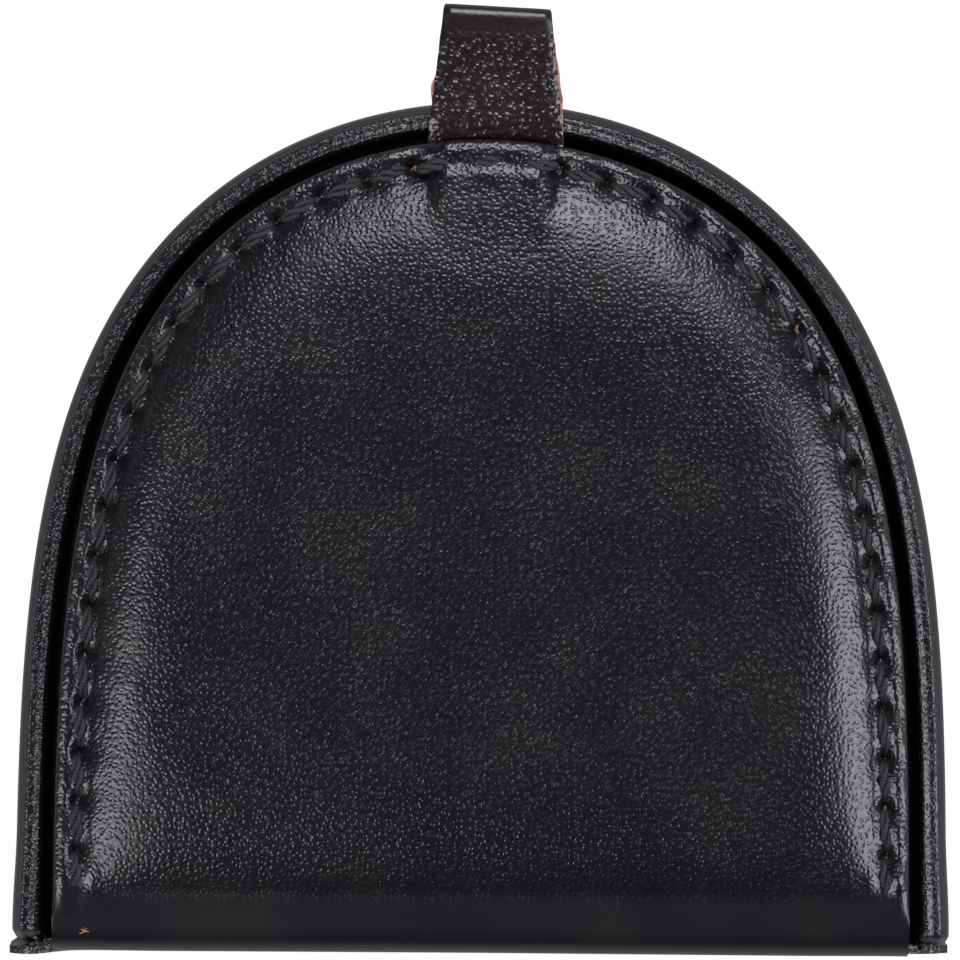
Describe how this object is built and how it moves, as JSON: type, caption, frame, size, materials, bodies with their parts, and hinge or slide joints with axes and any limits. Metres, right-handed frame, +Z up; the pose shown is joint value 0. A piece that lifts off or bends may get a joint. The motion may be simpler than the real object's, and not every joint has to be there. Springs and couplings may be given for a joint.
{
  "type": "coin purse",
  "caption": "Horseshoe leather coin purse: a walled tray and a coin pocket that nest together, joined by a leather hinge, with a pull tab.",
  "frame": {"origin": "middle of the underside of the bounding box, on the table that the tray's back lies on", "axes": "+Z up through the purse's thickness, from its back to its padded front; +Y from the hinge to the pull tab; +X to the right seen from the front"},
  "size_m": [0.075, 0.076, 0.0181],
  "materials": {
    "outer_leather": "glazed black goat leather with a fine pebble grain",
    "wall_leather": "thin glazed black leather folded over a stiff strip",
    "tab_leather": "black leather with a coarser grain and raw tan edges",
    "board": "grey-brown stiffening board",
    "lining": "black woven lining",
    "foam": "thin felt padding",
    "thread": "waxed twisted thread, dark green-grey"
  },
  "bodies": {
    "tray": {"back_panel": "outer_leather", "back_board": "board", "tray_lining": "lining", "tray_wall": "wall_leather", "tray_wall_core": "board", "tray_stitches": "thread"},
    "spine": {"spine_panel": "outer_leather", "spine_lining": "lining"},
    "coin_pocket": {"front_panel": "outer_leather", "front_padding": "foam", "front_board": "board", "pocket_lining": "lining", "pocket_wall": "wall_leather", "pocket_wall_core": "board", "pocket_cover": "wall_leather", "front_stitches": "thread", "pocket_stitches": "thread", "tab_tail": "tab_leather"},
    "tab": {"pull_tab": "tab_leather"}
  },
  "joints": [
    {"name": "back_crease", "type": "hinge", "parent": "tray", "child": "spine", "pos_m": [0, -0.03751, 0.00054], "axis": [1, 0, 0], "range_deg": [0, 87]},
    {"name": "front_crease", "type": "hinge", "parent": "spine", "child": "coin_pocket", "pos_m": [0, -0.03719, 0.01464], "axis": [1, 0, 0], "range_deg": [0, 87]},
    {"name": "tab_lift", "type": "hinge", "parent": "coin_pocket", "child": "tab", "pos_m": [0.0007, 0.02755, 0.01605], "axis": [1, 0, 0], "range_deg": [0, 75]}
  ],
  "couplings": [
    {"joint": "front_crease", "follows": "back_crease", "ratio": 1}
  ]
}
